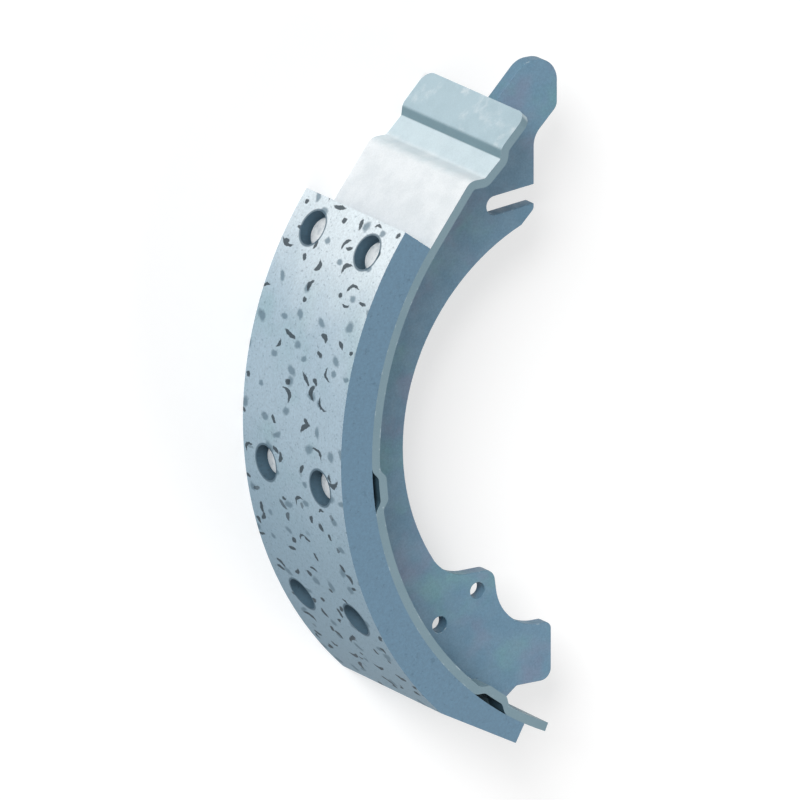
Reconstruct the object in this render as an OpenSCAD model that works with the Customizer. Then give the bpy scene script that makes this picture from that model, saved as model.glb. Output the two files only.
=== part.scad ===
// Brake shoe: a flat stamped web welded under a bent steel table, with a riveted friction lining.
// Everything is laid out about the drum's axis, in plan: the shoe's back faces -X, its cylinder end
// is towards +Y and its anchor end towards -Y. An arc is given in degrees from the shoe's middle
// line, up towards the cylinder end. The finished shoe is then moved so that the hold-down hole's
// centre is the origin. +Z is the drum's axis and points to the side that faces the backing plate.

/* [Drum and width] */
// Inner diameter of the drum, which the lining's face matches
drum_d = 254; // [210:1:310]
// Width of the table and the lining, along the drum's axis
shoe_w = 60; // [50:1:75]

/* [Lining] */
// Thickness of the lining
lining_t = 12; // [8:0.5:15]
// Arc from the middle line up to the lining's cylinder end
lining_up = 36.5; // [30:0.5:42]
// Arc from the middle line down to the lining's anchor end
lining_down = 61; // [52:0.5:63]
// Arc over which the anchor end is ground back to a flat lead-in
lead_in_arc = 15; // [5:0.5:20]
// Depth of that lead-in at the lining's end
lead_in_depth = 5; // [2:0.5:6]

/* [Rivets] */
// Arcs from the middle line to the four rows of rivets
rivet_rows = [31.5, -5, -27.5, -50]; // [-60:0.5:40]
// Distance from the lining's sides to the rivets
rivet_in = 13.5; // [13:0.5:20]
// Diameter of a rivet's shank
shank_d = 4.8; // [4:0.1:6]
// Diameter of a rivet's head
head_d = 10; // [8:0.5:12]
// Thickness of a rivet's head
head_t = 1.3; // [1:0.1:2]
// Depth of the rivets' heads under the lining's face
head_recess = 3.5; // [2:0.5:7]
// Diameter of a rivet's rolled end
clinch_d = 7.7; // [6.5:0.1:8.5]
// Height of a rivet's rolled end
clinch_t = 1.4; // [1:0.1:2]
// Bore of a rivet's tubular end
tube_d = 2.9; // [2:0.1:3.5]
// Clearance around a rivet's shank in its hole
shank_gap = 0.1; // [0.05:0.05:0.3]
// Clearance around a rivet's head in its counterbore
head_gap = 1; // [0.5:0.1:1.5]

/* [Table] */
// Thickness of the table's sheet
table_t = 3; // [2:0.25:4]
// Arc from the middle line down to the table's anchor end
table_down = 65.5; // [64:0.5:68]
// Arc from the lining's end to where the sheet leaves the drum's curve and runs straight on
run_gap = 0.5; // [0.5:0.5:3]
// Length of that straight run, up to the groove
run_len = 22.3; // [16:0.1:26]
// Inward turn into the groove
groove_in_turn = 52; // [30:1:60]
// Straight sheet on the groove's lower side
groove_side = 3; // [0.5:0.1:4]
// Turn back onto the groove's floor
groove_floor_turn = 42; // [25:1:50]
// Straight floor of the groove
groove_floor = 7; // [4:0.2:10]
// Outward turn of the joggle on the groove's upper side
joggle_turn = 40; // [20:1:45]
// Straight sheet between the joggle's two bends
joggle_len = 1.8; // [0.5:0.1:4]
// Turn back from the joggle into the end pad
pad_turn = 37; // [15:1:40]
// Length of the flat end pad
pad_len = 12.4; // [9:0.1:15]
// Radius of the end pad's corners
pad_corner = 4.5; // [2:0.5:6]
// Radius on the inside of the sheet's bends
bend_r = 1.5; // [1:0.5:4]

/* [Rest nibs] */
// Arcs from the middle line to the nibs that slide on the backing plate
nib_rows = [-5.5, -53]; // [-60:0.5:40]
// Length of a nib along the table's edge
nib_len = 15; // [10:1:18]
// Length of the ramp at each of its ends
nib_ramp = 4; // [2:0.5:5]
// Width of a nib, in from the table's edge
nib_w = 9; // [6:0.5:9]
// How far a nib is pressed in towards the drum's axis
nib_drop = 2.4; // [1:0.2:2.8]
// Step where the press has cut a nib's ends and inner side free
nib_step = 0.1; // [0.05:0.05:0.5]

/* [Web] */
// Thickness of the web's plate
web_t = 5; // [4:0.5:7]
// Width of the web under the table, at the middle line
web_depth = 26.6; // [20:0.5:32]
// How far the centre of the web's inner curve lies from the drum's axis, towards the table
curve_shift = 11; // [5:0.5:15]
// How far that centre lies below the middle line
curve_drop = 8; // [0:0.5:12]

/* [Cylinder end] */
// Distance from the brake's centre line to the face that the wheel cylinder pushes
tip_face = 25.5; // [20:0.5:35]
// Rise of the tip above the rim's inner radius
tip_rise = 4.4; // [2:0.2:8]
// Height of the pushed face
tip_face_h = 17; // [12:0.5:20]
// Radius of the tip's rounding
tip_r = 8; // [4:0.5:9]
// Step in from the end pad's inner face to the tip's outer edge
tip_step = 3.5; // [1:0.5:5]
// How far the web's waist lies behind the pushed face
waist_back = 9; // [5:0.5:12]
// Radius where the tip runs out into the waist
waist_r = 8; // [4:0.5:10]

/* [Push-rod slot] */
// Width of the slot
slot_w = 6.4; // [5:0.2:7]
// Depth of the slot, from the waist to its round end
slot_depth = 18.5; // [12:0.5:20]
// Distance from the tip's top down to the slot's mouth
slot_below_tip = 45.6; // [44:0.2:47]
// Tilt of the slot, up towards its mouth
slot_tilt = 6; // [0:1:8]
// Width of the nose under the slot's mouth
nose_w = 2; // [1:0.5:3]
// How far the edge from the nose to the inner curve runs along X and along Y
nose_run = 6.2; // [5:0.2:8]

/* [Anchor end] */
// Distance from the brake's centre line to the face that rests on the anchor
foot_face = 27.5; // [24:0.5:34]
// Distance from the rim's inner radius up to the foot's lower edge
foot_up = 14.4; // [12:0.2:17]
// Height of the foot
foot_h = 20; // [16:0.5:22]
// Width of the foot, from the anchor face to the shoulder
foot_w = 22.5; // [20:0.5:26]
// Length of the foot's lower edge
foot_low_w = 13.5; // [10:0.5:18]
// Radius of the foot's upper corner
foot_top_r = 2.4; // [1:0.2:4]
// Radius where the foot's lower edge turns up to the table
foot_low_r = 2; // [1:0.5:4]
// Height of the shoulder above the foot
shoulder_h = 22; // [18:0.5:26]
// Radius of the hollow between the shoulder and the foot
hollow_r = 17; // [10:1:19]
// How far the shoulder's edge leans towards the anchor face on its way down
hollow_lean = 3; // [1:0.5:6]
// Radius where the web's inner curve runs out into the shoulder
shoulder_r = 16; // [6:1:20]
// Radius of the web's other outer corners
corner_r = 4; // [2:0.5:5]

/* [Holes in the web] */
// Diameter of the hold-down hole
hold_d = 7; // [5:0.5:9]
// Distance from the rim's inner radius to the hold-down hole's centre
hold_in = 14; // [12:0.5:15]
// Diameter of the return spring holes
spring_d = 5.5; // [4:0.5:6.5]
// Distance from the shoulder's two edges to the centre of its spring hole
shoulder_hole_in = 6.4; // [6:0.2:8]
// Arcs from the middle line to the spring holes beside the table
rim_hole_arcs = [44.5, 36, -45]; // [-50:0.5:50]
// Distances from the rim's inner radius to those holes' centres
rim_hole_in = [8, 8.5, 11.3]; // [7:0.1:13]

/* [Hidden] */
$fn = 128;
// Largest step of a small arc, in degrees
arc_step = 5;
// Reach past any edge of the shoe, for cuts that run right through
beyond = 40;
// Depth that a cut takes past a face
over = 1;
// Small shift that lets a curve cross the line that it runs into, instead of just touching it
cross_by = 0.02;

rim_out = drum_d / 2 - lining_t;
rim_in = rim_out - table_t;
mid_z = shoe_w / 2;

// Rivet
hole_d = shank_d + 2 * shank_gap;
counterbore_d = head_d + 2 * head_gap;
head_top = table_t + lining_t - head_recess;
seat_z = head_top - head_t;
tube_depth = table_t + clinch_t;
head_bevel = 0.4;
clinch_bevel = 0.45;
// The clinched end stands clear of the table's hollow side, whose curve it doesn't follow
clinch_gap = 0.1;

// Table
straight_from = lining_up + run_gap;
// Arc at which the straight sheet is already clear of the drum's curve
curve_cut = straight_from + 5;
nib_steps = 20;

// Web
curve_r = rim_in - web_depth - curve_shift;
curve_at = [-curve_shift, -curve_drop];
tip_top = rim_in + tip_rise;
waist_x = -tip_face - waist_back;
slot_mouth = [waist_x, tip_top - slot_below_tip];
foot_low = foot_up - rim_in;
foot_top = foot_low + foot_h;
shoulder_x = -foot_face - foot_w;
shoulder_y = foot_top + shoulder_h;
hold_at = [hold_in - rim_in, 0];
shoulder_hole = [shoulder_x - shoulder_hole_in, shoulder_y - shoulder_hole_in];
// Centre of the fillet that lies inside the inner curve and on the shoulder's edge
fillet_y = shoulder_y + shoulder_r;
fillet_at = curve_at - [sqrt((curve_r - shoulder_r) ^ 2 - (fillet_y - curve_at.y) ^ 2),
    curve_at.y - fillet_y];

rivet_names = [for (i = [1 : 2 * len(rivet_rows)]) str("rivet_", i)];

// Point at a radius from the drum's axis and an arc from the middle line
function polar(r, arc) = [-r * cos(arc), r * sin(arc)];

// Unit vectors along a heading, and square to it on the drum's side of the sheet
function along(heading) = [cos(heading), sin(heading)];
function outward(heading) = [-sin(heading), cos(heading)];

// The sheet beyond the drum's curve, as legs: a straight length, then an outward turn in degrees
sheet_legs = [
    [run_len, -groove_in_turn],
    [groove_side, groove_floor_turn],
    [groove_floor, joggle_turn],
    [joggle_len, -pad_turn],
    [pad_len, 0]
];
run_start = polar(rim_in - cross_by, straight_from);
run_heading = 90 - straight_from;
pad_heading = run_heading - groove_in_turn + groove_floor_turn + joggle_turn - pad_turn;

// Centre of a bend that starts at a point on the sheet's inner face
function bend_centre(start, heading, turn) =
    start + outward(heading) * (turn > 0 ? table_t + bend_r : -bend_r);

// Signed radius of the bend, for the line that lies off from the inner face
function bend_reach(off, turn) = turn > 0 ? off - table_t - bend_r : bend_r + off;

// Points of the line that follows the sheet from the end of its curve, at a distance off its inner face
function sheet_line(off, start = run_start, heading = run_heading, leg = 0) =
    let (
        straight = sheet_legs[leg][0],
        turn = sheet_legs[leg][1],
        bend_from = start + straight * along(heading),
        centre = bend_centre(bend_from, heading, turn),
        steps = ceil(abs(turn) / arc_step)
    )
    leg == len(sheet_legs) - 1
        ? [bend_from + off * outward(heading)]
        : concat(
            leg == 0 ? [start + off * outward(heading)] : [],
            [for (k = [0 : steps])
                centre + bend_reach(off, turn) * outward(heading + turn * k / steps)],
            sheet_line(off, centre + bend_reach(0, turn) * outward(heading + turn),
                heading + turn, leg + 1)
        );

function backwards(points) = [for (i = [len(points) - 1 : -1 : 0]) points[i]];

inner_line = sheet_line(0);
pad_end = inner_line[len(inner_line) - 1];

// Points of one rounded corner between its neighbours
function rounded_corner(before, corner, after, r) =
    let (
        u = (before - corner) / norm(before - corner),
        v = (after - corner) / norm(after - corner),
        half = acos(u * v) / 2,
        centre = corner + (u + v) / norm(u + v) * r / sin(half),
        first = corner + u * r / tan(half) - centre,
        side = sign(cross(u, v)),
        sweep = 180 - 2 * half,
        steps = ceil(sweep / arc_step)
    )
    [for (k = [0 : steps])
        let (t = -side * sweep * k / steps)
        centre + [first.x * cos(t) - first.y * sin(t), first.x * sin(t) + first.y * cos(t)]];

// Outline through corners given as [point, radius], where a radius of 0 leaves a sharp corner
function rounded_outline(corners) =
    let (n = len(corners))
    [for (i = [0 : n - 1])
        each corners[i][1] == 0
            ? [corners[i][0]]
            : rounded_corner(corners[(i + n - 1) % n][0], corners[i][0],
                corners[(i + 1) % n][0], corners[i][1])];

// Puts the finished shoe in its own frame, with the hold-down hole at the origin
module in_shoe_frame() {
    translate([-hold_at.x, -hold_at.y, -mid_z]) children();
}

// Puts a shape on the rim, with its +Z pointing out from the drum's axis
module on_rim(arc, z, r) {
    translate([0, 0, z])
        rotate([0, 0, 180 - arc])
        translate([r, 0, 0])
        rotate([0, 90, 0])
        children();
}

// Every rivet's place: the rows in order, with the lower rivet of each row first
module at_rivet(i) {
    row = floor(i / 2);
    on_rim(rivet_rows[row], i % 2 == 0 ? rivet_in : shoe_w - rivet_in, rim_in) children();
}

// Wedge between two arcs, from the drum's axis out past the shoe
module wedge(from, to) {
    reach = drum_d;
    polygon([[0, 0], polar(reach, from), polar(reach, (from + to) / 2), polar(reach, to)]);
}

// Part of a ring between two radii and two arcs
module ring_part(inner, outer, from, to) {
    intersection() {
        difference() {
            circle(r = outer);
            circle(r = inner);
        }
        wedge(from, to);
    }
}

// Everything on the drum's-axis side of the table's inner face, carried on past the end pad
module inside_table() {
    intersection() {
        circle(r = rim_in);
        wedge(-2 * table_down, curve_cut);
    }
    polygon(concat([[0, 0]], inner_line, [pad_end + beyond * along(pad_heading), [0, drum_d]]));
}

// Web
module web_blank() {
    past_rim = drum_d / 2 + beyond;
    table_end = polar(rim_in, -table_down);
    nose = slot_mouth - [0, slot_w / 2 + nose_w];
    step_at = pad_end - tip_step * outward(pad_heading);
    tip_corner = step_at + (tip_top - step_at.y) / sin(pad_heading) * along(pad_heading);
    polygon(rounded_outline([
        [[-tip_face, tip_top], tip_r],
        [[-tip_face, tip_top - tip_face_h], corner_r],
        [[waist_x, tip_top - tip_face_h - waist_back], waist_r],
        [nose, nose_w],
        [nose - nose_run * [1, 1], 0],
        [curve_at, 0],
        [[fillet_at.x, shoulder_y], 0],
        [[shoulder_x, shoulder_y], corner_r],
        [[shoulder_x + hollow_lean, foot_top], hollow_r],
        [[-foot_face, foot_top], foot_top_r],
        [[-foot_face, foot_low], corner_r],
        [[-foot_face - foot_low_w, foot_low], foot_low_r],
        [table_end, 0],
        [polar(past_rim, -table_down), 0],
        [polar(past_rim, -table_down / 3), 0],
        [polar(past_rim, straight_from), 0],
        [pad_end + beyond * outward(pad_heading), 0],
        [pad_end, 0],
        [step_at, 0],
        [tip_corner, tip_r]
    ]));
}

// The open space under the web's inner curve, down to the shoulder
module inner_curve() {
    meets_curve = curve_at + (fillet_at - curve_at) * curve_r / (curve_r - shoulder_r);
    difference() {
        intersection() {
            translate(curve_at) circle(r = curve_r);
            translate([curve_at.x - curve_r, shoulder_y]) square(2 * curve_r);
        }
        difference() {
            polygon([
                [fillet_at.x, shoulder_y],
                fillet_at,
                meets_curve,
                [curve_at.x - curve_r, meets_curve.y],
                [curve_at.x - curve_r, shoulder_y]
            ]);
            translate(fillet_at) circle(r = shoulder_r + cross_by);
        }
    }
}

module web_plan() {
    difference() {
        intersection() {
            web_blank();
            inside_table();
        }
        inner_curve();
        translate(slot_mouth) rotate(slot_tilt) {
            translate([slot_w / 2 - slot_depth, -slot_w / 2]) square([slot_depth, slot_w]);
            translate([slot_w / 2 - slot_depth, 0]) circle(d = slot_w);
        }
        translate(hold_at) circle(d = hold_d);
        translate(shoulder_hole) circle(d = spring_d);
        for (i = [0 : len(rim_hole_arcs) - 1])
            translate(polar(rim_in - rim_hole_in[i], rim_hole_arcs[i])) circle(d = spring_d);
    }
}

module web() {
    color("#5f8296")
        in_shoe_frame()
        translate([0, 0, mid_z - web_t / 2])
        linear_extrude(web_t)
        web_plan();
}

// Table: the sheet follows the drum's curve, then runs straight, dips into a groove and ends in a pad
module table_plan() {
    difference() {
        union() {
            intersection() {
                circle(r = rim_out);
                wedge(-table_down, curve_cut);
            }
            polygon(concat([[0, 0]], sheet_line(table_t), [pad_end]));
        }
        inside_table();
    }
}

// Takes a round corner off the end pad, on the side given as -1 or 1
module pad_corner_cut(side) {
    translate(pad_end)
        rotate(pad_heading)
        translate([-pad_corner, table_t / 2, mid_z + side * (mid_z - pad_corner)])
        rotate([90, 0, 0])
        difference() {
            translate([0, side > 0 ? 0 : -pad_corner - over, -table_t])
                cube([pad_corner + over, pad_corner + over, 2 * table_t]);
            cylinder(r = pad_corner + cross_by, h = 3 * table_t, center = true);
        }
}

// Arc that a length takes up on the table's inner face
function rim_arc(length) = length / rim_in * 180 / PI;

// Section of a pressed nib: the sheet steps in a little, and a smooth ramp eases it in and out again
module nib_plan(row) {
    half = rim_arc(nib_len / 2);
    ends = half + rim_arc(over / 2);
    arcs = [for (k = [0 : nib_steps]) ends * (2 * k / nib_steps - 1)];
    function ease(arc) = (1 - cos(180 * min(1, max(0, half - abs(arc)) / rim_arc(nib_ramp)))) / 2;
    function pressed(arc) = nib_step + (nib_drop - nib_step) * ease(arc);
    inner_side = [for (arc = arcs) polar(rim_in - pressed(arc), row + arc)];
    outer_side = [for (arc = arcs) polar(rim_out - pressed(arc), row + arc)];
    polygon(concat(inner_side, backwards(outer_side)));
}

module table() {
    half = rim_arc(nib_len / 2);
    nib_z = shoe_w - nib_w;
    color("#a9bfcb")
        in_shoe_frame() {
            difference() {
                linear_extrude(shoe_w) table_plan();
                for (row = nib_rows)
                    translate([0, 0, nib_z])
                        linear_extrude(nib_w + over)
                        ring_part(rim_in - over, rim_out + over, row - half, row + half);
                for (i = [0 : len(rivet_names) - 1])
                    at_rivet(i) translate([0, 0, -over]) cylinder(d = hole_d, h = table_t + 2 * over);
                for (side = [-1, 1]) pad_corner_cut(side);
            }
            for (row = nib_rows) translate([0, 0, nib_z]) linear_extrude(nib_w) nib_plan(row);
        }
}

// Lining
module lining_plan() {
    face_r = drum_d / 2;
    difference() {
        ring_part(rim_out, face_r, -lining_down, lining_up);
        polygon([
            polar(face_r, lead_in_arc - lining_down),
            polar(face_r - lead_in_depth, -lining_down),
            polar(face_r - lead_in_depth, -lining_down) + [beyond / 2, 0],
            polar(face_r + beyond, -lining_down),
            polar(face_r + beyond, lead_in_arc - lining_down)
        ]);
    }
}

module lining() {
    color("#b4c8d4")
        in_shoe_frame()
        difference() {
            linear_extrude(shoe_w) lining_plan();
            for (i = [0 : len(rivet_names) - 1]) at_rivet(i) {
                cylinder(d = hole_d, h = seat_z + over);
                translate([0, 0, seat_z]) cylinder(d = counterbore_d, h = lining_t);
            }
        }
}

// Rivet: a flat head in the counterbore, a shank, and a tubular end rolled over inside the table
module rivet(i) {
    clinch_top = -clinch_gap;
    clinch_end = clinch_top - clinch_t;
    color("#dfe8ec")
        in_shoe_frame()
        at_rivet(i)
        difference() {
            rotate_extrude(convexity = 4)
                polygon([
                    [0, head_top],
                    [head_d / 2 - head_bevel, head_top],
                    [head_d / 2, head_top - head_bevel],
                    [head_d / 2, seat_z],
                    [shank_d / 2, seat_z],
                    [shank_d / 2, clinch_top],
                    [clinch_d / 2 - clinch_bevel, clinch_top],
                    [clinch_d / 2, clinch_top - clinch_bevel],
                    [clinch_d / 2, clinch_end + clinch_bevel],
                    [clinch_d / 2 - clinch_bevel, clinch_end],
                    [0, clinch_end]
                ]);
            translate([0, 0, clinch_end - over])
                cylinder(d = tube_d, h = tube_depth + over);
            translate([0, 0, clinch_end - cross_by])
                cylinder(d1 = tube_d + 2 * clinch_bevel, d2 = tube_d, h = clinch_bevel);
        }
}

web();
table();
lining();
for (i = [0 : len(rivet_names) - 1])
    rivet(i);
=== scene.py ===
"""Finishes of a drum brake shoe, and the plain stage that it lies on.

The web, the table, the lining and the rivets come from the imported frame. This add-on gives each
its material, rounds the web's edges a little, and sets up the floor, the lamps and the camera.
"""

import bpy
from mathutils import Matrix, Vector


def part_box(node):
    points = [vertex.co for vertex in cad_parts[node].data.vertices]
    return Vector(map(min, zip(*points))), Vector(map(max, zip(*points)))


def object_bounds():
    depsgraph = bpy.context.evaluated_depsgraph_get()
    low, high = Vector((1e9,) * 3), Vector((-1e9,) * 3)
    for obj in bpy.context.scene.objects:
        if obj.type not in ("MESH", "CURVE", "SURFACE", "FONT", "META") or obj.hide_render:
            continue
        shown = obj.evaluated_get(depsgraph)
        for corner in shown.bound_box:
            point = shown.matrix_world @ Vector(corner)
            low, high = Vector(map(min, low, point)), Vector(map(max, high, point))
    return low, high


bl_info = {
    "name": "Brake Shoe Finish",
    "version": (1, 0, 0),
    "blender": (4, 5, 0),
    "location": "3D View > Sidebar > Brake Shoe",
    "description": "Painted steel, friction lining and rivets of a drum brake shoe",
    "category": "Object",
}

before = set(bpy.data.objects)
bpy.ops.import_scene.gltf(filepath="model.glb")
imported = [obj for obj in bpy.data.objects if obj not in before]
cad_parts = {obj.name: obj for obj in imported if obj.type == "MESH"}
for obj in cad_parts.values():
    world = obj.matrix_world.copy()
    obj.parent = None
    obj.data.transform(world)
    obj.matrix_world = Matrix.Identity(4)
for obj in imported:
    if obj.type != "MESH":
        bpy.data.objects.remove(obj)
CAD_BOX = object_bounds()

import math

import bpy
import numpy as np
from bpy.props import FloatProperty, FloatVectorProperty, PointerProperty
from mathutils import Matrix, Vector

MM = 0.001
WHITE = (1, 1, 1, 1)

# The rivets in order, two to a row
RIVETS = sorted(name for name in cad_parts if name.startswith("rivet_"))
# Radius of the drum, which the lining's face follows
DRUM_RADIUS = 127 * MM
# Distance from the drum's axis to the middle of the table's sheet
SHEET_MIDDLE = 113.5 * MM
# The way in which the table runs straight on past the lining's upper end
RUN_DIRECTION = (0.595, 0.804, 0.0)
# How far below the table's upper end, along Y, its groove and its end pad begin
GROOVE_START = 19.5 * MM
PAD_START = 11.5 * MM
# How far below the lining's upper end, along Y, its cover of the table begins and is whole. The
# end is radial, so its inner corner lies lower than its outer one.
COVER_START = 8 * MM
COVER_WHOLE = 9 * MM

# Each pair below gives where a mask sets in and where it is whole.
# The step between the groove and the pad faces back along the run, and is darkened as painted shade
STEP_SHADE_SLOPE = (-0.15, -0.42)
# The cut sides face along Z, and are darkened as painted shade
CUT_SIDE = (0.55, 0.85)
# The hollow side of the table faces the drum's axis, and is darkened as painted shade
HOLLOW_SIDE = (-0.2, -0.5)
# A painted highlight on a cut side, by the distance from the sheet's middle: near its rims, and not
# on the nibs
RIM_HIGHLIGHT_BAND = (0.95 * MM, 1.45 * MM)
RIM_HIGHLIGHT_LIMIT = (1.8 * MM, 1.7 * MM)
# The ground face of the lining faces away from the drum's axis
GROUND_FACE = (0.5, 0.85)
# Inside the lining's sides, by the distance from its middle plane
INSIDE_SIDES = (29.9 * MM, 29.7 * MM)
# Inside the lining's two ends, by the arc from its middle line
INSIDE_LOWER_END = (-133 * MM, -132 * MM)
INSIDE_UPPER_END = (80.6 * MM, 80.2 * MM)
# Painted shade on the ground face's lower half and a painted highlight on its upper end, by the arc
LOWER_HALF_SHADE = (25 * MM, -30 * MM)
UPPER_END_HIGHLIGHT = (42 * MM, 98 * MM)
# Most of Blender's noise lies between these two
NOISE_RANGE = (0.3, 0.7)

# Grinding marks per metre, along the arc and along the drum's axis
GRINDING_MARKS = (12, 2600, 0)
# The height is multiplied by this under the flecks, which draws them out along the drum's axis
FLECK_HEIGHT = 0.75
# Size of the raggedness of a fleck's outline, and how far it reaches
RAGGED_SIZE = 1.3 * MM
RAGGED_REACH = 1.1 * MM


def srgb(code):
    """The linear colour of a web colour code such as #5E8296."""
    parts = [int(code[i:i + 2], 16) / 255 for i in (1, 3, 5)]
    return tuple(p / 12.92 if p <= 0.04045 else ((p + 0.055) / 1.055) ** 2.4 for p in parts)


def length(name, default_mm, text):
    """A property for a length, kept in metres."""
    return FloatProperty(name=name, description=text, default=default_mm * MM, min=0.0,
                         precision=5, unit="LENGTH")


def colour(name, code, text):
    """A property for a colour, kept as linear values."""
    return FloatVectorProperty(name=name, description=text, default=srgb(code), size=3,
                               min=0.0, max=1.0, subtype="COLOR")


def share(name, default, text, top=1.0):
    """A property for a share or a plain strength."""
    return FloatProperty(name=name, description=text, default=default, min=0.0, max=top)


def angle(name, degrees, text):
    """A property for an angle."""
    return FloatProperty(name=name, description=text, default=math.radians(degrees),
                         subtype="ANGLE")


def direction(name, default, text):
    """A property for a direction."""
    return FloatVectorProperty(name=name, description=text, default=default, size=3,
                               subtype="DIRECTION")


class ShoeSteel(bpy.types.PropertyGroup):
    """Sizes and colours of the painted steel: the web and the table."""

    edge_round: length("Edge rounding", 0.3, "Width of the rounding on the web's edges")
    web_paint: colour("Web paint", "#5C8097", "Main colour of the web's paint")
    web_teal: colour("Web paint, greener", "#5D8994", "Where the web's paint runs greener")
    web_violet: colour("Web paint, greyer", "#667B93", "Where the web's paint runs greyer")
    web_patch: length("Patch size", 22, "Size of the patches in the web's paint")
    # Tones of the table's outer face beyond the lining: the run's near-white is a painted
    # highlight, and the groove and the pad are darker as painted shade
    table_run_highlight: colour("Table run", "#E8ECEE", "Outer face of the table, next to the lining")
    table_groove_shade: colour("Table groove", "#C9D9DF", "Outer face of the groove beyond the run")
    table_pad_shade: colour("Table end", "#ABC1CA", "Outer face of the end pad")
    # Painted shade on the step between the groove and the pad
    table_step_shade: colour("Table step", "#6B8791", "Steep step between the groove and the pad")
    # Painted shade on the cut edges and the hollow side; the same tone also makes faint blotches on
    # the face
    table_edge_shade_and_blotch: colour("Table edges", "#6C8691", "Cut edges and hollow side of the table")
    # Dark paint under the lining, deepened as painted shade in the cavities at the nibs
    table_hidden_paint_and_shade: colour("Table under the lining", "#3C5664", "Outer face where the lining sits")
    pad_fade: length("Fade to the end", 3, "Length over which the face's colours turn")
    # Bare steel: rubbed off the web's edges, and a painted highlight on the rims of the table's cut
    # sides
    bare_steel_and_highlight: colour("Bare steel", "#9DB0B9", "Steel where the paint has rubbed off an edge")
    edge_wear: share("Edge wear", 0.4, "Share of the edges where the paint has rubbed off")


class ShoeLining(bpy.types.PropertyGroup):
    """Sizes and colours of the friction lining."""

    face: colour("Ground face", "#A4B9C7", "Face that rubs on the drum")
    # Painted highlight on the upper end of the ground face
    face_end_highlight: colour("Ground face, upper end", "#DEE8ED", "Where the face is freshly ground")
    # Painted shade on the lower half of the ground face
    face_low_shade: colour("Ground face, lower half", "#8FA8B8", "Where the face has been ground least")
    face_cool: colour("Ground face, greener", "#9AB4BF", "Where the face runs greener")
    side: colour("Moulded sides", "#648399", "Sides and ends, as they leave the mould")
    # Darkened as painted shade on the counterbores' walls; also the tone of their dust-dark rims
    # and of dark patches on the sides
    bore: colour("Counterbores", "#3E5868", "Walls of the holes that the rivets sit in")
    fleck: colour("Flecks", "#22313A", "Dark fibres and chips in the lining")
    spot: colour("Spots", "#587180", "Soft grey grains in the lining")
    fleck_spacing: length("Fleck spacing", 11, "Mean distance between two flecks")
    fleck_length: length("Fleck length", 5.4, "Length of a long fleck")
    fleck_width: length("Fleck width", 1.8, "Width of a wide fleck")
    spot_spacing: length("Spot spacing", 9.5, "Mean distance between two spots")
    spot_size: length("Spot size", 4.0, "Length of a large spot")
    bore_radius: length("Counterbore radius", 6, "Radius of the holes that the rivets sit in")
    rim_width: length("Rim width", 1.0, "Width of the dust-dark edge round a counterbore")


class ShoeRivets(bpy.types.PropertyGroup):
    """Sizes and colours of the rivets."""

    metal: colour("Rivet metal", "#F2F6F8", "Colour of the plated rivets")
    tarnish: colour("Tarnish", "#C2CCD2", "Colour of the plating where it has dulled")
    mark_pitch: length("Tool mark pitch", 0.45, "Distance between the turning marks on a head")


class ShoeStage(bpy.types.PropertyGroup):
    """Sizes and strengths of the floor, the lamps and the camera."""

    floor_size: length("Floor size", 6000, "Length of the floor's sides")
    floor: colour("Floor", "#D2D2D2", "Colour of the floor")
    floor_glow: share("Floor lift", 0.42, "Light that the floor adds for camera and reflections")
    sky: share("Sky", 0.46, "Strength of the even light from all round", 4.0)
    key: share("Main lamp", 0.72, "Brightness that the main lamp gives a white surface", 4.0)
    key_from: direction("Main lamp from", (-0.62, 0.52, 0.58),
                        "Direction that the main lamp shines from")
    key_spread: angle("Lamp size", 26, "Width of each lamp as the shoe sees it")
    fill: share("Second lamp", 0.24, "Brightness that the second lamp gives", 4.0)
    fill_from: direction("Second lamp from", (0.6, -0.55, 0.58),
                         "Direction that the second lamp shines from")
    azimuth: angle("Camera azimuth", 240, "Direction the camera looks from, round the shoe")
    elevation: angle("Camera elevation", 53.6, "Height of the camera above the floor's plane")
    roll: angle("Camera roll", 114.9, "Turn of the picture about the line of sight")
    lens: FloatProperty(name="Lens", description="Focal length of the camera", default=1000.0,
                        min=1.0, subtype="DISTANCE_CAMERA")
    fill_frame: share("Picture filled", 0.86, "Share of the picture's side that the shoe takes")


class BrakeShoe(bpy.types.PropertyGroup):
    """All settings of the brake shoe's looks."""

    steel: PointerProperty(type=ShoeSteel)
    lining: PointerProperty(type=ShoeLining)
    rivets: PointerProperty(type=ShoeRivets)
    stage: PointerProperty(type=ShoeStage)


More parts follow.
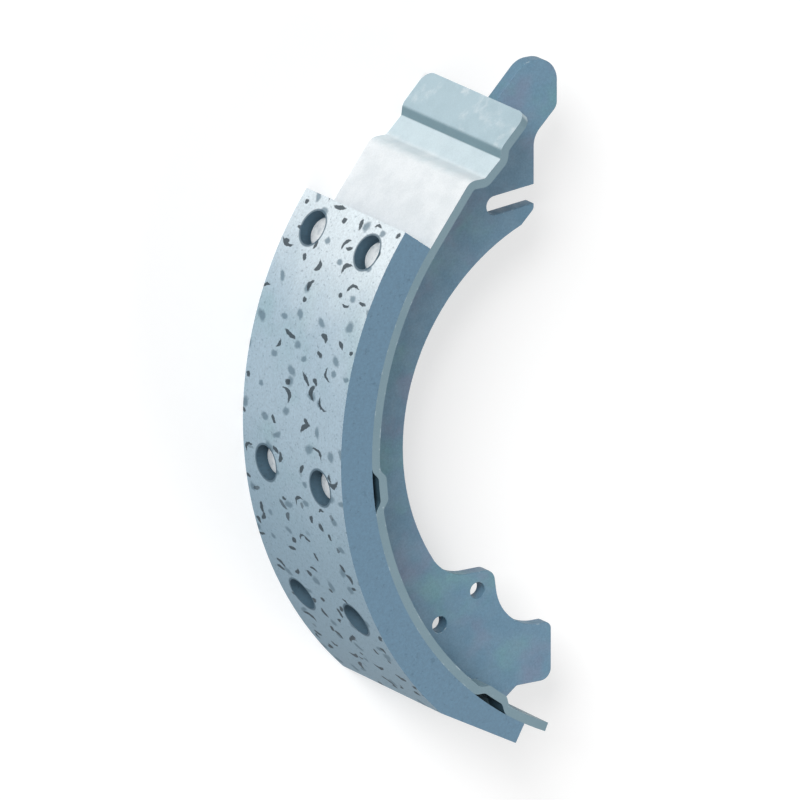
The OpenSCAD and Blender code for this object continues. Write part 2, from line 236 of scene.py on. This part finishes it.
class Nodes:
    """A node tree in the making. Each call but node adds a node or more and returns an output
    socket. What it is given may be a socket or a plain value."""

    def __init__(self, owner):
        owner.use_nodes = True
        self.tree = owner.node_tree
        self.tree.nodes.clear()

    def node(self, kind, given=None, **settings):
        """The new node itself, with what its inputs are given and its own settings."""
        made = self.tree.nodes.new(kind)
        for key, value in settings.items():
            setattr(made, key, value)
        for key, value in (given or {}).items():
            if isinstance(value, bpy.types.NodeSocket):
                self.tree.links.new(value, made.inputs[key])
            else:
                made.inputs[key].default_value = value
        return made

    def math(self, operation, *values):
        return self.node("ShaderNodeMath", dict(enumerate(values)), operation=operation).outputs[0]

    def product(self, first, *others):
        """All the values multiplied, from left to right."""
        for value in others:
            first = self.math("MULTIPLY", first, value)
        return first

    def vector_math(self, operation, *values):
        made = self.node("ShaderNodeVectorMath", dict(enumerate(values)), operation=operation)
        return made.outputs["Value" if operation in ("DOT_PRODUCT", "LENGTH") else "Vector"]

    def scaled(self, vector, factor):
        made = self.node("ShaderNodeVectorMath", {0: vector, "Scale": factor}, operation="SCALE")
        return made.outputs["Vector"]

    def vector(self, x=0.0, y=0.0, z=0.0):
        return self.node("ShaderNodeCombineXYZ", {0: x, 1: y, 2: z}).outputs[0]

    def parts(self, vector):
        """The three parts of a vector, as a row of sockets."""
        return self.node("ShaderNodeSeparateXYZ", {0: vector}).outputs

    def noise(self, vector, size, detail=2.0, rough=0.5, output="Fac"):
        """Noise whose patches measure about size, in metres."""
        given = {"Vector": vector, "Scale": 1 / size, "Detail": detail, "Roughness": rough}
        return self.node("ShaderNodeTexNoise", given).outputs[output]

    def ramp(self, value, low, high, start=0.0, end=1.0):
        """A smooth step from start to end while value goes from low to high."""
        given = {"Value": value, "From Min": low, "From Max": high, "To Min": start, "To Max": end}
        return self.node("ShaderNodeMapRange", given, interpolation_type="SMOOTHSTEP").outputs[0]

    def mix(self, factor, first, second, blend="MIX"):
        """The first colour, turning into the second as the factor goes from 0 to 1."""
        pair = [c if isinstance(c, bpy.types.NodeSocket) else (*c, 1.0) for c in (first, second)]
        made = self.node("ShaderNodeMix", {0: factor, 6: pair[0], 7: pair[1]}, data_type="RGBA",
                         blend_type=blend)
        return made.outputs[2]

    def shade(self, tone, factor):
        """The tone made darker or lighter by a factor."""
        return self.mix(1.0, tone, self.vector(factor, factor, factor), "MULTIPLY")


class Finish(Nodes):
    """A material in the making, with the place on the piece and the way that it faces there."""

    def __init__(self, name):
        self.material = bpy.data.materials.new(name)
        super().__init__(self.material)
        coordinates = self.node("ShaderNodeTexCoord").outputs
        self.place = coordinates["Object"]
        self.normal = coordinates["Normal"]

    def placed(self, location, turn=0.0):
        """Object coordinates, moved to a centre and turned about Z."""
        given = {"Vector": self.place, "Location": location, "Rotation": (0, 0, turn)}
        return self.node("ShaderNodeMapping", given, vector_type="TEXTURE").outputs[0]

    def patches(self, size, low, high, start=0.0, end=1.0, detail=4.0, rough=0.5, vector=None):
        """Soft patches: noise of about the given size, whose low turns into start and whose high
        turns into end."""
        noise = self.noise(self.place if vector is None else vector, size, detail, rough)
        return self.ramp(noise, low, high, start, end)

    def drift(self, size, start, end, detail=4.0, rough=0.5):
        """A value that wanders from start to end in patches of about the given size."""
        return self.patches(size, *NOISE_RANGE, start, end, detail, rough)

    def bump(self, height, depth):
        """A normal for a height from 0 to 1 that is worth depth, in metres."""
        given = {"Height": height, "Distance": depth, "Strength": 1.0}
        return self.node("ShaderNodeBump", given).outputs[0]

    def surface(self, **sockets):
        """Ends the material in one shader, whose sockets are named with _ for a space."""
        given = {key.replace("_", " "): value for key, value in sockets.items()}
        shader = self.node("ShaderNodeBsdfPrincipled", given)
        self.node("ShaderNodeOutputMaterial", {"Surface": shader.outputs[0]})
        return self.material


def drum_axis_x():
    """Where the drum's axis lies: the drum's radius in from the lining's middle, which is as far
    out as the lining reaches."""
    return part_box("lining")[0].x + DRUM_RADIUS


def node_points(piece):
    """The corners of one CAD mesh, as rows of a numpy array."""
    flat = np.zeros(len(piece.data.vertices) * 3)
    piece.data.vertices.foreach_get("co", flat)
    return flat.reshape(-1, 3)


def round_edges(piece, width, edge_slot):
    """Joins the node's loose triangles and rounds its sharp edges. The rounding takes the
    material in the given slot."""
    weld = piece.modifiers.new("Joined triangles", "WELD")
    weld.merge_threshold = 0.002 * MM
    flat = piece.modifiers.new("Flat faces whole", "DECIMATE")
    flat.decimate_type = "DISSOLVE"
    flat.angle_limit = math.radians(0.3)
    bevel = piece.modifiers.new("Rounded edges", "BEVEL")
    bevel.limit_method = "ANGLE"
    bevel.angle_limit = math.radians(32)
    bevel.width = width
    bevel.segments = 2
    bevel.use_clamp_overlap = False
    bevel.material = edge_slot
    shading = piece.modifiers.new("Flat faces shade flat", "WEIGHTED_NORMAL")
    shading.mode = "FACE_AREA"
    shading.weight = 50


def dress(name, slot, *materials):
    """Gives a CAD node its materials, and returns it."""
    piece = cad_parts[name]
    piece.data.materials.clear()
    for material in materials:
        piece.data.materials.append(material)
    return piece


def paint_bump(finish, size):
    """The slightly uneven skin of sprayed paint, with dust nibs under it."""
    skin = finish.noise(finish.place, size, detail=3.0)
    dust = finish.patches(size * 0.35, 0.68, 0.8, detail=1.0)
    return finish.bump(finish.math("ADD", skin, finish.product(dust, 0.5)), 0.03 * MM)


def rubbed(finish, steel):
    """A mask of the places where an edge's paint has rubbed off."""
    left = 1.0 - steel.edge_wear
    return finish.patches(3 * MM, left - 0.06, left + 0.06, 0.0, 0.8, detail=5.0, rough=0.7)


def web_material(name, steel, worn):
    """Blue-grey paint that drifts to a greener and a greyer tone in soft patches. On the edges
    it is rubbed down to bare steel here and there."""
    finish = Finish(name)
    greener = finish.patches(steel.web_patch, 0.5, 0.72, detail=3.0, rough=0.6)
    elsewhere = finish.placed((0.3, 0.1, 0.2))
    greyer = finish.patches(steel.web_patch * 0.8, 0.5, 0.72, detail=3.0, vector=elsewhere)
    tone = finish.mix(greener, steel.web_paint, steel.web_teal)
    tone = finish.mix(greyer, tone, steel.web_violet)
    tone = finish.shade(tone, finish.drift(0.7 * MM, 0.88, 1.08, rough=0.7))
    metallic = 0.0
    if worn:
        bare = rubbed(finish, steel)
        tone = finish.mix(bare, tone, steel.bare_steel_and_highlight)
        metallic = finish.product(bare, 0.4)
    return finish.surface(Base_Color=tone, Roughness=finish.drift(6 * MM, 0.42, 0.6),
                          Metallic=metallic, Normal=paint_bump(finish, 1.6 * MM))


def from_axis(finish):
    """The way from the drum's axis out to a point, in the plane of X and Y."""
    x, y = finish.parts(finish.place)[:2]
    return finish.vector(finish.math("SUBTRACT", x, drum_axis_x()), y)


def outwards(finish, way):
    """How much the surface faces along the way from the drum's axis: 1 out, -1 in. In words: the
    dot product of the normal and that way at length one."""
    return finish.vector_math("DOT_PRODUCT", finish.normal, finish.vector_math("NORMALIZE", way))


def above(finish, height, level, fade):
    """1 above a level and 0 below it, with a fade between. The level is given down from the
    table's upper end."""
    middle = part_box("table")[1].y - level
    return finish.ramp(height, middle - fade / 2, middle + fade / 2)


def table_face_tone(finish, y, steel):
    """Colours of the table's outer face beyond the lining, from the run up to the end pad, with
    the dark step. They stand in for light and shade: the run's near-white is a painted highlight,
    and the groove, the pad and the step are darker as painted shade. Their limits waver a little."""
    waver = finish.math("SUBTRACT", finish.noise(finish.place, 5 * MM), 0.5)
    height = finish.math("ADD", y, finish.product(waver, 1.6 * MM))
    on_groove = above(finish, height, GROOVE_START, steel.pad_fade)
    on_pad = above(finish, height, PAD_START, steel.pad_fade)
    tone = finish.mix(on_groove, steel.table_run_highlight, steel.table_groove_shade)
    tone = finish.mix(on_pad, tone, steel.table_pad_shade)
    pale = finish.patches(7 * MM, 0.5, 0.75, 0.0, 0.5, rough=0.6)
    tone = finish.mix(finish.product(pale, on_pad), tone, steel.table_run_highlight)
    blotch = finish.patches(9 * MM, 0.35, 0.7, 0.0, 0.12, rough=0.6)
    tone = finish.mix(blotch, tone, steel.table_edge_shade_and_blotch)
    # Painted shade on the step, which faces back along the run
    slope = finish.vector_math("DOT_PRODUCT", finish.normal, RUN_DIRECTION)
    return finish.mix(finish.ramp(slope, *STEP_SHADE_SLOPE), tone, steel.table_step_shade)


def table_rim_highlight(finish, way, where, steel):
    """A mask of a painted highlight on the rims of the table's cut sides, in patches like rubbed
    paint, kept to where another mask is 1.
    """
    from_middle = finish.math("SUBTRACT", finish.vector_math("LENGTH", way), SHEET_MIDDLE)
    from_middle = finish.math("ABSOLUTE", from_middle)
    band = finish.product(finish.ramp(from_middle, *RIM_HIGHLIGHT_BAND),
                          finish.ramp(from_middle, *RIM_HIGHLIGHT_LIMIT))
    return finish.product(band, where, rubbed(finish, steel))


def table_material(name, steel):
    """Paint whose tones stand in for light and shade. On the outer face beyond the lining it is
    nearly white on the straight run as a painted highlight, bluer in the groove and on the end pad
    and dark on the step between them as painted shade. The cut edges and the hollow side are
    grey-teal as painted shade, with a painted highlight on the cut sides' rims, and the face under
    the lining is
    dark: its paint, deepened as painted shade in the cavities at the nibs."""
    finish = Finish(name)
    y = finish.parts(finish.place)[1]
    lining_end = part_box("lining")[1].y
    # Under the lining the face takes a dark tone: its paint, deepened as painted shade in the
    # cavities at the nibs
    under = finish.ramp(y, lining_end - COVER_START, lining_end - COVER_WHOLE)
    tone = finish.mix(under, table_face_tone(finish, y, steel), steel.table_hidden_paint_and_shade)
    # Painted shade: the cut sides and the hollow side take the darker grey-teal
    along_z = finish.math("ABSOLUTE", finish.parts(finish.normal)[2])
    cut = finish.ramp(along_z, *CUT_SIDE)
    way = from_axis(finish)
    hollow = finish.ramp(outwards(finish, way), *HOLLOW_SIDE)
    tone = finish.mix(finish.math("MAXIMUM", cut, hollow), tone, steel.table_edge_shade_and_blotch)
    # A painted highlight: the cut sides' rims turn pale as bare steel, in patches like rubbed paint
    worn = table_rim_highlight(finish, way, finish.product(cut, under), steel)
    tone = finish.mix(worn, tone, steel.bare_steel_and_highlight)
    tone = finish.shade(tone, finish.drift(0.6 * MM, 0.95, 1.03, rough=0.7))
    return finish.surface(Base_Color=tone, Roughness=finish.drift(7 * MM, 0.38, 0.56),
                          Normal=paint_bump(finish, 1.4 * MM))


def drum_place(finish):
    """Arc length on the drum, height along its axis and distance from it, as one vector. In
    words: the angle about the axis times the drum's radius, Z, and the length of X and Y."""
    x, y, z = finish.parts(finish.place)
    inwards = finish.math("SUBTRACT", drum_axis_x(), x)
    arc = finish.product(finish.math("ARCTAN2", y, inwards), DRUM_RADIUS)
    radius = finish.vector_math("LENGTH", finish.vector(inwards, y))
    return finish.vector(arc, z, radius)


def flecks(finish, place, spacing, long, wide, bend, softness, seed):
    """A mask of small bent grains set at random on the face. The seed is how far the pattern is
    shifted, in metres, so that each kind of grain lies in places of its own.

    In words: the face is split into random cells. In each, the way from the cell's centre is
    turned by an angle of its own, its second part is bent by the square of its first, and the
    grain is where the two parts, divided by the grain's half sizes, have a length under one. A
    fifth of the cells stay empty."""
    shifted = finish.vector_math("ADD", place, (seed, seed * 0.7, 0.0))
    ragged = finish.noise(shifted, RAGGED_SIZE, output="Color")
    ragged = finish.scaled(finish.vector_math("SUBTRACT", ragged, (0.5, 0.5, 0.5)), RAGGED_REACH)
    at = finish.scaled(finish.vector_math("ADD", shifted, ragged), 1 / spacing)
    cells = finish.node("ShaderNodeTexVoronoi", {"Vector": at, "Scale": 1.0, "Randomness": 0.8},
                        voronoi_dimensions="2D", feature="F1").outputs
    first, second, third = finish.parts(cells["Color"])
    away = finish.scaled(finish.vector_math("SUBTRACT", at, cells["Position"]), spacing)
    turned = finish.node("ShaderNodeVectorRotate",
                         {"Vector": away, "Angle": finish.product(first, math.tau)},
                         rotation_type="Z_AXIS").outputs[0]
    along, across = finish.parts(turned)[:2]
    curve = finish.product(along, along,
                           finish.ramp(second, 0.0, 1.0, -bend / long, bend / long))
    across = finish.math("SUBTRACT", across, curve)
    half_long = finish.ramp(third, 0.0, 1.0, long * 0.2, long * 0.5)
    half_wide = finish.ramp(second, 0.0, 1.0, wide * 0.3, wide * 0.5)
    reach = finish.vector(finish.math("DIVIDE", along, half_long),
                          finish.math("DIVIDE", across, half_wide))
    grain = finish.ramp(finish.vector_math("LENGTH", reach), 1 + softness, 1 - softness)
    return finish.product(grain, finish.ramp(third, 0.18, 0.2))


def dark_flecks(finish, place, low, lining):
    """A mask of the dark grains: long dashes, shorter chips, and more of them low down."""
    dashes = flecks(finish, place, spacing=lining.fleck_spacing, long=lining.fleck_length,
                    wide=lining.fleck_width, bend=1.5, softness=0.16, seed=0.0)
    chips = flecks(finish, place, spacing=lining.fleck_spacing * 1.3,
                   long=lining.fleck_length * 0.55, wide=lining.fleck_width * 1.1,
                   bend=0.6, softness=0.2, seed=0.57)
    more = flecks(finish, place, spacing=lining.fleck_spacing, long=lining.fleck_length * 0.7,
                  wide=lining.fleck_width, bend=1.0, softness=0.2, seed=0.19)
    return finish.math("MAXIMUM", finish.math("MAXIMUM", dashes, chips),
                       finish.product(more, low))


def rim_mask(finish, arc, z, lining):
    """A mask of the narrow rims round the counterbores' mouths. The two rivets of a row lie as
    far above the middle plane as below it, so one of each row gives the place of both."""
    height = finish.math("ABSOLUTE", z)
    mask = 0.0
    for name in RIVETS[::2]:
        centre = node_points(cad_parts[name]).mean(axis=0)
        row = math.atan2(centre[1], drum_axis_x() - centre[0]) * DRUM_RADIUS
        away = finish.vector(finish.math("SUBTRACT", arc, row),
                             finish.math("SUBTRACT", height, abs(centre[2])))
        rim = finish.ramp(finish.vector_math("LENGTH", away), lining.bore_radius + lining.rim_width,
                          lining.bore_radius + lining.rim_width * 0.4)
        mask = finish.math("MAXIMUM", mask, rim)
    return mask


def lining_wall_tone(finish, arc, z, lining):
    """Colours of the lining's walls. One that lies inside its sides and ends is a counterbore's,
    and is darkened as painted shade in the hole; the others are as they left the mould."""
    inside = finish.product(finish.ramp(finish.math("ABSOLUTE", z), *INSIDE_SIDES),
                            finish.ramp(arc, *INSIDE_LOWER_END),
                            finish.ramp(arc, *INSIDE_UPPER_END))
    return finish.mix(inside, lining.side, lining.bore)


def lining_face_tone(finish, place, up, low, lining):
    """Colours of the ground face: greener in patches, darker low down as painted shade, pale at the
    upper end as a painted highlight.
    """
    cool = finish.patches(20 * MM, 0.45, 0.7, detail=3.0, vector=place)
    tone = finish.mix(cool, lining.face, lining.face_cool)
    tone = finish.mix(low, tone, lining.face_low_shade)
    return finish.mix(finish.ramp(up, *UPPER_END_HIGHLIGHT), tone, lining.face_end_highlight)


def lining_bump(finish, place, ground, grain, dark):
    """The moulded grain with pores, sunk flecks and, on the ground face, the grinding marks."""
    lines = finish.node("ShaderNodeMapping", {"Vector": place, "Scale": GRINDING_MARKS}).outputs[0]
    marks = finish.product(finish.noise(lines, 1.0, detail=3.0),
                           finish.ramp(ground, 0.0, 1.0, 0.0, 0.35))
    pores = finish.patches(1.3 * MM, 0.36, 0.28, detail=3.0, vector=place)
    height = finish.math("ADD", finish.product(grain, 0.5), marks)
    height = finish.math("SUBTRACT", height, finish.product(dark, 0.6))
    return finish.bump(finish.math("SUBTRACT", height, pores), 0.12 * MM)


def lining_material(name, lining):
    """Moulded friction material: ground on the face, blue-grey as moulded on the sides, with
    dark bent flecks, soft grey grains, fine pores and the grinding wheel's marks. The face is paled
    at its upper end as a painted highlight and darkened over its lower half as painted shade, and
    the counterbores' walls are darkened as painted shade."""
    finish = Finish(name)
    place = drum_place(finish)
    arc, z = finish.parts(place)[:2]
    flat_place = finish.vector(arc, finish.product(z, FLECK_HEIGHT))
    ground = finish.ramp(outwards(finish, from_axis(finish)), *GROUND_FACE)

    # The arc along the face, wavering. Over the lower half the face is darkened as painted shade,
    # and at the upper end paled as a painted highlight; the lower half also gets more dark flecks
    wander = finish.product(finish.noise(place, 18 * MM, detail=3.0), 26 * MM)
    up = finish.math("ADD", finish.math("ADD", arc, finish.product(z, 0.2)), wander)
    low = finish.ramp(up, *LOWER_HALF_SHADE)
    tone = finish.mix(ground, lining_wall_tone(finish, arc, z, lining),
                      lining_face_tone(finish, place, up, low, lining))
    grain = finish.noise(place, 0.8 * MM, detail=4.0, rough=0.75)
    tone = finish.shade(tone, finish.ramp(grain, 0.25, 0.75, 0.84, 1.1))

    specks = flecks(finish, flat_place, spacing=2.7 * MM, long=0.9 * MM, wide=0.6 * MM,
                    bend=0.0, softness=0.35, seed=0.83)
    spots = flecks(finish, flat_place, spacing=lining.spot_spacing, long=lining.spot_size,
                   wide=lining.spot_size * 0.7, bend=0.4, softness=0.4, seed=0.31)
    dark = finish.product(dark_flecks(finish, flat_place, low, lining),
                          finish.product(ground, 0.9))
    rims = finish.product(rim_mask(finish, arc, z, lining), ground, 0.85)
    tone = finish.mix(finish.product(specks, finish.product(ground, 0.3)), tone, lining.spot)
    tone = finish.mix(finish.product(spots, finish.product(ground, 0.75)), tone, lining.spot)
    tone = finish.mix(dark, tone, lining.fleck)
    tone = finish.mix(rims, tone, lining.bore)
    moulded = finish.patches(3.5 * MM, 0.62, 0.72, 0.0, 0.35, rough=0.6)
    tone = finish.mix(finish.product(moulded, finish.ramp(ground, 1.0, 0.0)), tone, lining.bore)
    return finish.surface(Base_Color=tone, Roughness=finish.ramp(grain, *NOISE_RANGE, 0.72, 0.92),
                          Normal=lining_bump(finish, place, ground, grain, dark))


def rivet_material(node, rivets):
    """Plated steel with turning marks round the rivet's axis and dull patches. In words: the
    marks are the sine of the distance from the axis, which wavers a little, times a full turn
    over their pitch."""
    finish = Finish(f"plated {node}")
    low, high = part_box(node)
    centre = (low + high) / 2
    turn = math.atan2(centre.y, centre.x - drum_axis_x())
    local = finish.parts(finish.placed(tuple(centre), turn))
    ring = finish.vector_math("LENGTH", finish.vector(local[1], local[2]))
    waver = finish.product(finish.noise(finish.place, 2 * MM), rivets.mark_pitch * 0.6)
    wave = finish.math("SINE", finish.product(finish.math("ADD", ring, waver),
                                              math.tau / rivets.mark_pitch))
    dull = finish.patches(2.2 * MM, 0.45, 0.75, 0.0, 0.7)
    tone = finish.mix(dull, rivets.metal, rivets.tarnish)
    return finish.surface(Base_Color=tone, Roughness=finish.drift(1.2 * MM, 0.3, 0.5, detail=3.0),
                          Metallic=0.5, Normal=finish.bump(wave, 0.012 * MM))


class BRAKESHOE_OT_web(bpy.types.Operator):
    """Paint the web and round its edges"""

    bl_idname = "brake_shoe.web"
    bl_label = "Web"

    def execute(self, context):
        steel = context.scene.brake_shoe.steel
        web = dress("web", "web_steel", web_material("web paint", steel, False),
                    web_material("web edge", steel, True))
        round_edges(web, steel.edge_round, 1)
        return {"FINISHED"}


class BRAKESHOE_OT_table(bpy.types.Operator):
    """Paint the table, with painted light and shade, and a painted highlight on the rims of its cut
    edges
    """

    bl_idname = "brake_shoe.table"
    bl_label = "Table"

    def execute(self, context):
        steel = context.scene.brake_shoe.steel
        dress("table", "table_steel", table_material("table paint", steel))
        return {"FINISHED"}


class BRAKESHOE_OT_lining(bpy.types.Operator):
    """Give the lining its ground face, its flecks and its moulded sides"""

    bl_idname = "brake_shoe.lining"
    bl_label = "Lining"

    def execute(self, context):
        lining = context.scene.brake_shoe.lining
        dress("lining", "friction_lining", lining_material("friction material", lining))
        return {"FINISHED"}


class BRAKESHOE_OT_rivets(bpy.types.Operator):
    """Give the rivets their plating and turning marks"""

    bl_idname = "brake_shoe.rivets"
    bl_label = "Rivets"

    def execute(self, context):
        rivets = context.scene.brake_shoe.rivets
        for name in RIVETS:
            dress(name, "rivet_metal", rivet_material(name, rivets))
        return {"FINISHED"}


def seen_only(nodes):
    """1 for rays from the camera and for reflections and glass, 0 for the light on the shoe."""
    path = nodes.node("ShaderNodeLightPath").outputs
    seen = nodes.math("MAXIMUM", path["Is Camera Ray"], path["Is Glossy Ray"])
    return nodes.math("MAXIMUM", seen, path["Is Transmission Ray"])


def floor_material(stage):
    """A pale matt floor. For the camera and for reflections it is lifted to white, and keeps
    the shoe's shadow."""
    finish = Finish("floor")
    matt = finish.node("ShaderNodeBsdfDiffuse", {"Color": (*stage.floor, 1.0)})
    strength = finish.product(seen_only(finish), stage.floor_glow)
    lift = finish.node("ShaderNodeEmission", {"Color": WHITE, "Strength": strength})
    both = finish.node("ShaderNodeAddShader", {0: matt.outputs[0], 1: lift.outputs[0]})
    finish.node("ShaderNodeOutputMaterial", {"Surface": both.outputs[0]})
    return finish.material


def lay_floor(stage):
    """A flat square under the shoe, at its lowest point."""
    half = stage.floor_size / 2
    z = CAD_BOX[0].z
    corners = [(-half, -half, z), (half, -half, z), (half, half, z), (-half, half, z)]
    mesh = bpy.data.meshes.new("floor")
    mesh.from_pydata(corners, [], [(0, 1, 2, 3)])
    mesh.materials.append(floor_material(stage))
    floor = bpy.data.objects.new("floor", mesh)
    bpy.context.scene.collection.objects.link(floor)


def set_world(stage):
    """Even light on the shoe, and white where the camera or a reflection meets the sky."""
    world = bpy.data.worlds.new("sky")
    bpy.context.scene.world = world
    sky = Nodes(world)
    strength = sky.node("ShaderNodeMapRange",
                        {"Value": seen_only(sky), "To Min": stage.sky, "To Max": 1.0})
    light = sky.node("ShaderNodeBackground", {"Color": WHITE, "Strength": strength.outputs[0]})
    sky.node("ShaderNodeOutputWorld", {"Surface": light.outputs[0]})


def add_sun(name, brightness, source, spread):
    """A distant lamp. A white surface that faces it renders at the given brightness."""
    lamp = bpy.data.lights.new(name, "SUN")
    lamp.energy = brightness * math.pi
    lamp.angle = spread
    holder = bpy.data.objects.new(name, lamp)
    holder.rotation_mode = "QUATERNION"
    holder.rotation_quaternion = Vector(source).to_track_quat("Z", "Y")
    bpy.context.scene.collection.objects.link(holder)


def set_camera(stage):
    """The camera at the drawing's angle, with the shoe in the middle of the picture.

    In words: the line of sight comes from azimuth and elevation, and the picture is turned
    about it by the roll. The shoe's corners are taken along the picture's two sides, and the
    camera stands where the larger span fills its share of the picture."""
    azimuth, elevation, roll = stage.azimuth, stage.elevation, stage.roll
    back = np.array([math.sin(azimuth) * math.cos(elevation),
                     -math.cos(azimuth) * math.cos(elevation), math.sin(elevation)])
    level = np.cross([0, 0, 1], back)
    level /= np.linalg.norm(level)
    upright = np.cross(back, level)
    right = math.cos(roll) * level + math.sin(roll) * upright
    up = np.cross(back, right)
    points = np.vstack([node_points(piece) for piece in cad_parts.values()])
    middle = np.zeros(3)
    spans = []
    for side in (right, up):
        reach = points @ side
        middle += side * (reach.max() + reach.min()) / 2
        spans.append(reach.max() - reach.min())
    middle += back * (points @ back).mean()
    data = bpy.data.cameras.new("camera")
    data.lens = stage.lens
    away = max(spans) / stage.fill_frame * data.lens / data.sensor_width
    data.clip_start, data.clip_end = away * 0.1, away * 10
    camera = bpy.data.objects.new("camera", data)
    turn = Matrix([right, up, back]).transposed().to_4x4()
    camera.matrix_world = Matrix.Translation(middle + back * away) @ turn
    bpy.context.scene.collection.objects.link(camera)
    bpy.context.scene.camera = camera


class BRAKESHOE_OT_stage(bpy.types.Operator):
    """Set up the floor, the lamps and the camera"""

    bl_idname = "brake_shoe.stage"
    bl_label = "Stage"

    def execute(self, context):
        stage = context.scene.brake_shoe.stage
        context.scene.view_settings.view_transform = "Standard"
        lay_floor(stage)
        set_world(stage)
        add_sun("main lamp", stage.key, stage.key_from, stage.key_spread)
        add_sun("second lamp", stage.fill, stage.fill_from, stage.key_spread)
        set_camera(stage)
        return {"FINISHED"}


OPERATORS = (BRAKESHOE_OT_web, BRAKESHOE_OT_table, BRAKESHOE_OT_lining, BRAKESHOE_OT_rivets,
             BRAKESHOE_OT_stage)


class BRAKESHOE_PT_panel(bpy.types.Panel):
    """Lists the pieces that can be finished"""

    bl_idname = "BRAKESHOE_PT_panel"
    bl_label = "Brake Shoe"
    bl_space_type = "VIEW_3D"
    bl_region_type = "UI"
    bl_category = "Brake Shoe"

    def draw(self, context):
        for operator in OPERATORS:
            self.layout.operator(operator.bl_idname)


CLASSES = (ShoeSteel, ShoeLining, ShoeRivets, ShoeStage, BrakeShoe, *OPERATORS,
           BRAKESHOE_PT_panel)


def register():
    for item in CLASSES:
        bpy.utils.register_class(item)
    bpy.types.Scene.brake_shoe = PointerProperty(type=BrakeShoe)


def unregister():
    del bpy.types.Scene.brake_shoe
    for item in reversed(CLASSES):
        bpy.utils.unregister_class(item)


def main():
    register()
    bpy.ops.brake_shoe.stage()
    bpy.ops.brake_shoe.web()
    bpy.ops.brake_shoe.table()
    bpy.ops.brake_shoe.lining()
    bpy.ops.brake_shoe.rivets()


if __name__ == "__main__":
    main()
